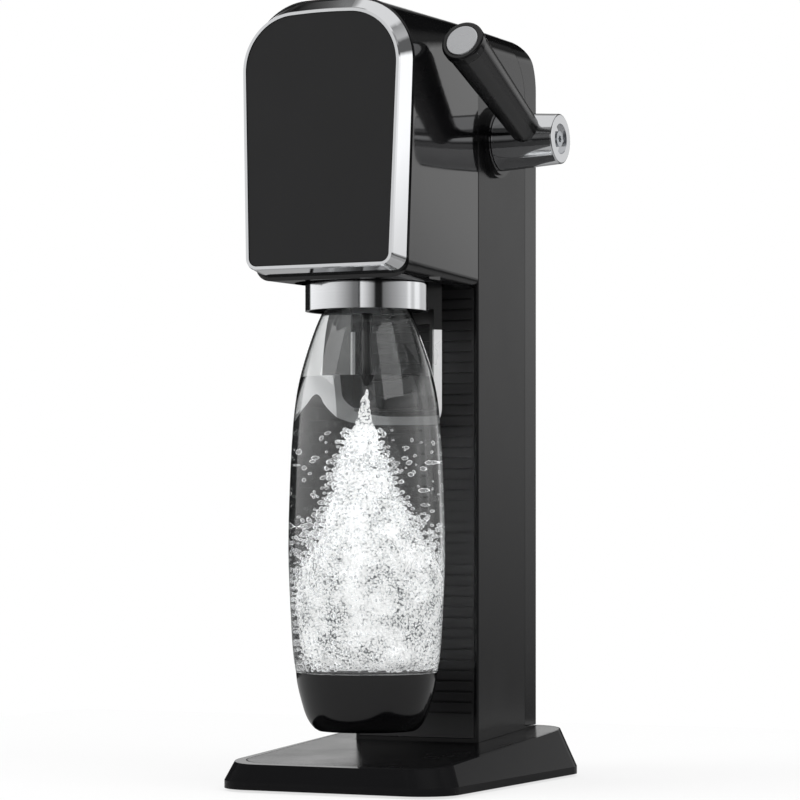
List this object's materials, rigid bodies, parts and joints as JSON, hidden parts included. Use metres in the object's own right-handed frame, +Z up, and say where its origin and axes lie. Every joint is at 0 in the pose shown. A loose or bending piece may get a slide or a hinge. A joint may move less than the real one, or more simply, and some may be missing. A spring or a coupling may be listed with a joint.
{
  "type": "soda carbonator",
  "caption": "Counter-top soda carbonator with a side lever, chrome-framed head, slim column, sloping base and clear bottle on a tilting holder.",
  "frame": {"origin": "centre of the base footprint, on the surface the feet stand on", "axes": "+Z up, -Y to the front where the bottle stands, +X to the side with the lever"},
  "size_m": [0.1494, 0.21, 0.4298],
  "materials": {
    "gloss_black": "polished moulded ABS",
    "satin_black": "fine-etched moulded ABS",
    "panel_black": "satin front panel",
    "chrome_trim": "chromed plastic, polished",
    "chrome_metal": "chromed zinc casting",
    "steel_part": "zinc-plated steel",
    "brass_part": "turned brass",
    "nylon_grey": "glass-filled nylon",
    "rubber_black": "moulded rubber",
    "seal_grey": "silicone rubber",
    "bottle_clear": "clear blown polyester",
    "cylinder_paint": "powder-coated aluminium cylinder",
    "hose_black": "reinforced gas hose"
  },
  "bodies": {
    "root": {"base_shell": "gloss_black", "bottom_plate": "satin_black", "base_screws": "steel_part", "rubber_feet": "rubber_black", "column_shell": "satin_black", "ribbed_panel": "satin_black", "head_shell": "gloss_black", "head_bezel": "chrome_trim", "front_panel": "panel_black", "panel_carrier": "satin_black", "tilt_pin": "steel_part", "gas_swivel": "brass_part", "gas_hose": "hose_black", "hose_fitting": "brass_part", "gas_cylinder": "cylinder_paint", "cylinder_valve": "brass_part", "cylinder_cradle": "satin_black", "valve_block": "nylon_grey", "relief_valve": "brass_part", "chassis_left": "steel_part", "chassis_right": "steel_part", "shaft_bush_left": "nylon_grey", "shaft_bush_right": "nylon_grey", "chassis_brace": "steel_part", "chassis_screws": "steel_part", "lock_studs": "steel_part", "hub_base_ring": "gloss_black", "lever_spring": "steel_part"},
    "lever": {"lever_shaft": "steel_part", "shaft_circlip": "steel_part", "lever_cam": "steel_part", "lever_hub": "chrome_metal", "hub_screw": "steel_part", "lever_arm": "satin_black", "arm_end_ring": "gloss_black", "arm_end_cap": "chrome_metal"},
    "plunger": {"plunger_yoke": "steel_part", "valve_pin": "steel_part"},
    "lock_bail": {"lock_handle": "nylon_grey"},
    "cover": {"rear_cover": "gloss_black"},
    "holder": {"bottle_holder": "satin_black", "collar_ring": "chrome_trim", "backrest": "satin_black", "backrest_trim": "chrome_trim", "nozzle_body": "nylon_grey", "nozzle_tube": "nylon_grey", "nozzle_tip": "nylon_grey", "mouth_seal": "seal_grey"},
    "jaw_left_slide": {"jaw_left": "nylon_grey"},
    "jaw_right_slide": {"jaw_right": "nylon_grey"},
    "bottle": {"bottle_body": "bottle_clear", "bottle_cup": "satin_black"},
    "tray": {"drip_tray": "satin_black"}
  },
  "joints": [
    {"name": "lever_turn", "type": "hinge", "parent": "root", "child": "lever", "pos_m": [0, 0.038, 0.364], "axis": [1, 0, 0], "range_deg": [0, 50], "stiffness_Nm_per_rad": 2, "springref_deg": -20.05},
    {"name": "plunger_press", "type": "slide", "parent": "root", "child": "plunger", "axis": [0, 0, -1], "range_m": [0, 0.0033]},
    {"name": "lock_bail_lift", "type": "hinge", "parent": "root", "child": "lock_bail", "pos_m": [0, 0.05, 0.38], "axis": [1, 0, 0], "range_deg": [0, 35]},
    {"name": "rear_cover_off", "type": "slide", "parent": "root", "child": "cover", "axis": [0, 1, 0], "range_m": [0, 0.04]},
    {"name": "holder_tilt", "type": "hinge", "parent": "root", "child": "holder", "pos_m": [0, -0.049, 0.3], "axis": [-1, 0, 0], "range_deg": [0, 10]},
    {"name": "jaw_left_open", "type": "slide", "parent": "holder", "child": "jaw_left_slide", "axis": [-1, 0, 0], "range_m": [0, 0.00125]},
    {"name": "jaw_right_open", "type": "slide", "parent": "holder", "child": "jaw_right_slide", "axis": [1, 0, 0], "range_m": [0, 0.00125]},
    {"name": "bottle_drop", "type": "slide", "parent": "holder", "child": "bottle", "axis": [0, 0, -1], "range_m": [0, 0.006]},
    {"name": "drip_tray_lift", "type": "slide", "parent": "root", "child": "tray", "axis": [0, 0, 1], "range_m": [0, 0.005]}
  ],
  "couplings": [
    {"joint": "plunger_press", "follows": "lever_turn", "m_per_rad": 0.00367},
    {"joint": "jaw_left_open", "follows": "holder_tilt", "m_per_rad": 0.00688},
    {"joint": "jaw_right_open", "follows": "holder_tilt", "m_per_rad": 0.00688}
  ]
}
